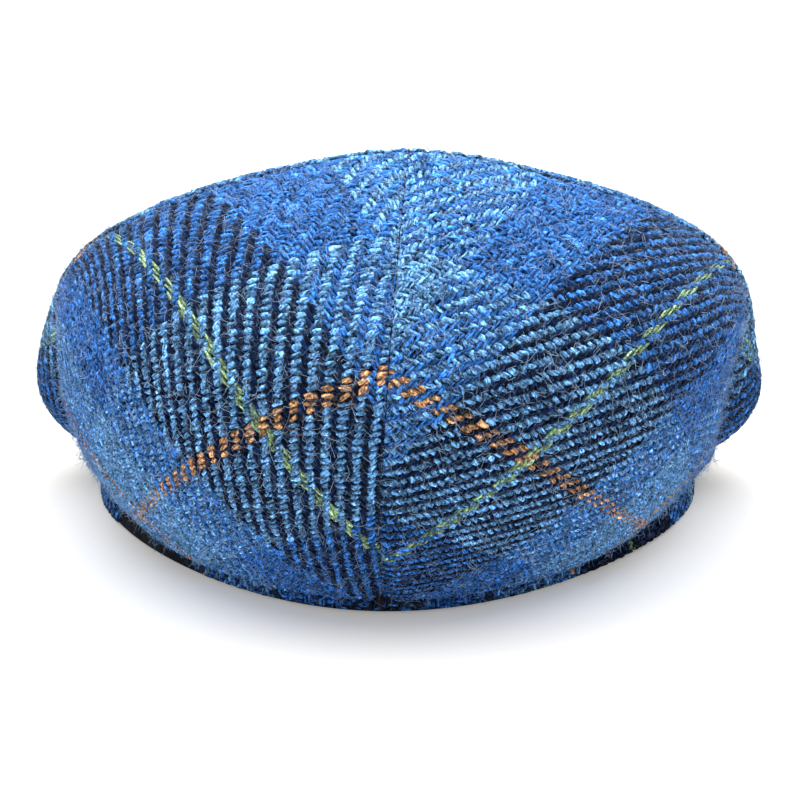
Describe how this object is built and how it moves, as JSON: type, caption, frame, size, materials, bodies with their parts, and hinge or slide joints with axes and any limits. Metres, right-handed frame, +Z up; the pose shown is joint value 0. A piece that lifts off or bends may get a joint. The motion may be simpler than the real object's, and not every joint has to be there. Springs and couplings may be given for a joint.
{
  "type": "flat cap",
  "caption": "Soft tweed flat cap with a full rounded crown of joined panels, an upright band round the open head hollow and a short stiff peak at the front.",
  "frame": {"origin": "on the surface that the rim rests on, under the middle of the whole cap's box", "axes": "+Z up, +Y forwards to the peak, -Y to the back of the cap, +X to the wearer's right"},
  "size_m": [0.23, 0.2618, 0.116],
  "materials": {
    "crown_tweed": "blue tartan wool twill, rough and hairy",
    "band_tweed": "the same wool twill, mostly its navy stripe",
    "peak_tweed": "the same wool twill over a stiff insert"
  },
  "bodies": {
    "root": {"side_panel_right": "crown_tweed", "side_panel_left": "crown_tweed", "top_panel": "crown_tweed", "rim_band": "band_tweed", "peak": "peak_tweed"}
  },
  "joints": []
}
